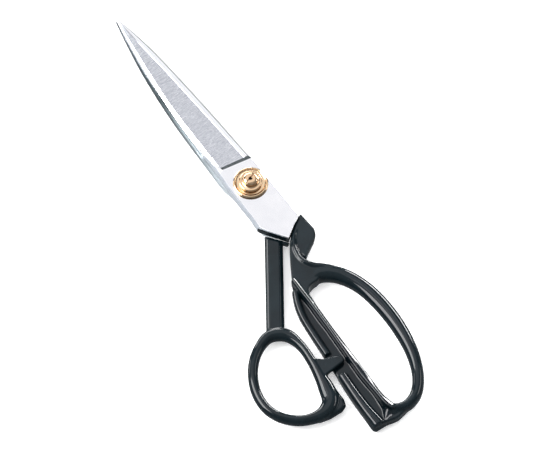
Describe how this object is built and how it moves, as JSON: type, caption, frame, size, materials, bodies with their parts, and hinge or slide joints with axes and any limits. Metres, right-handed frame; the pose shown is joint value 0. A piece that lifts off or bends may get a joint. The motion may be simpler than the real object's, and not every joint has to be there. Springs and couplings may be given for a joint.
{
  "type": "fabric shears",
  "caption": "Bent tailor's shears with a long pointed blade pair, a small thumb bow, a long finger bow and a slotted nut at the pivot.",
  "frame": {"origin": "on the pivot axis, in the plane of the bolt head's back face, which the closed shears rest on", "axes": "+Y from the pivot to the blade tips with the shears closed, +X to the finger side, +Z along the pivot axis out of the nut"},
  "size_m": [0.0782, 0.2402, 0.0141],
  "materials": {
    "blade_steel": "ground and polished, with a satin grey hollow down the outer face",
    "handle_enamel": "gloss black enamel over cast metal",
    "bolt_steel": "turned steel",
    "pivot_brass": "polished brass"
  },
  "bodies": {
    "finger_half": {"finger_blade": "blade_steel", "finger_handle": "handle_enamel", "pivot_bolt": "bolt_steel", "pivot_washer": "pivot_brass"},
    "thumb_half": {"thumb_blade": "blade_steel", "thumb_handle": "handle_enamel"},
    "nut": {"tension_nut": "pivot_brass"}
  },
  "joints": [
    {"name": "blade_pivot", "type": "hinge", "parent": "finger_half", "child": "thumb_half", "pos_m": [0, 0, 0.0074], "axis": [0, 0, -1], "range_deg": [0, 95]},
    {"name": "nut_turn", "type": "hinge", "parent": "finger_half", "child": "nut", "pos_m": [0, 0, 0.0125], "axis": [0, 0, 1], "range_deg": [-20, 90]}
  ]
}
